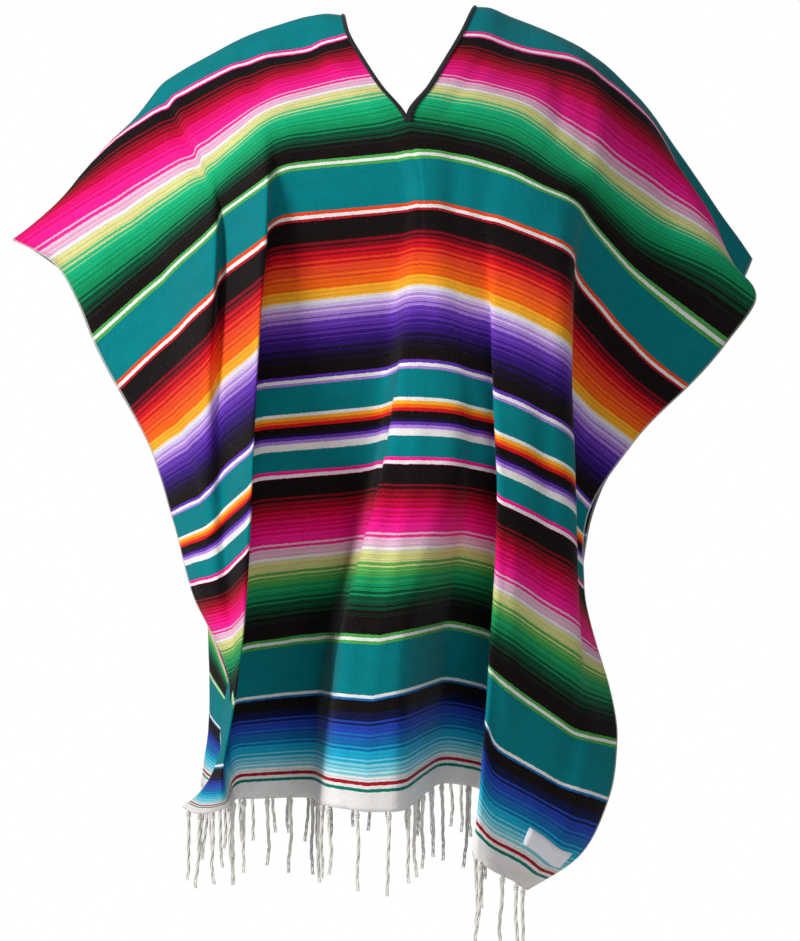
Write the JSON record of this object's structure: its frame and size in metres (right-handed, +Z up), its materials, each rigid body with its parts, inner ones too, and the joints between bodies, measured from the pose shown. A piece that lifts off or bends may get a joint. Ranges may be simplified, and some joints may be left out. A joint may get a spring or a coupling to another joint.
{
  "type": "mexican serape worn as a poncho",
  "caption": "Mexican serape worn as a V-neck poncho, hanging in deep folds from the shoulders and elbows, with a tape-bound neck slit and fringed hems.",
  "frame": {"origin": "where the wearer's shoulders carry the cloth: the middle of the neck slit at the height of the shoulder line beside it", "axes": "+Z up, -Y out of the garment's front, +X to the right of the picture, which is the wearer's left"},
  "size_m": [0.8007, 0.3989, 0.9856],
  "materials": {
    "woven_stripes": "weft-faced wool-like weave in graded traditional stripes",
    "woven_stripes_back": "the same weave, over the wearer's back",
    "black_tape": "matt black folded tape",
    "white_yarn": "soft white twisted yarn",
    "white_yarn_back": "soft white twisted yarn",
    "label_satin": "blank white satin label"
  },
  "bodies": {
    "root": {"cloth_front": "woven_stripes", "cloth_back": "woven_stripes_back", "neck_binding": "black_tape", "front_fringe": "white_yarn", "back_fringe": "white_yarn_back", "care_label": "label_satin"}
  },
  "joints": []
}
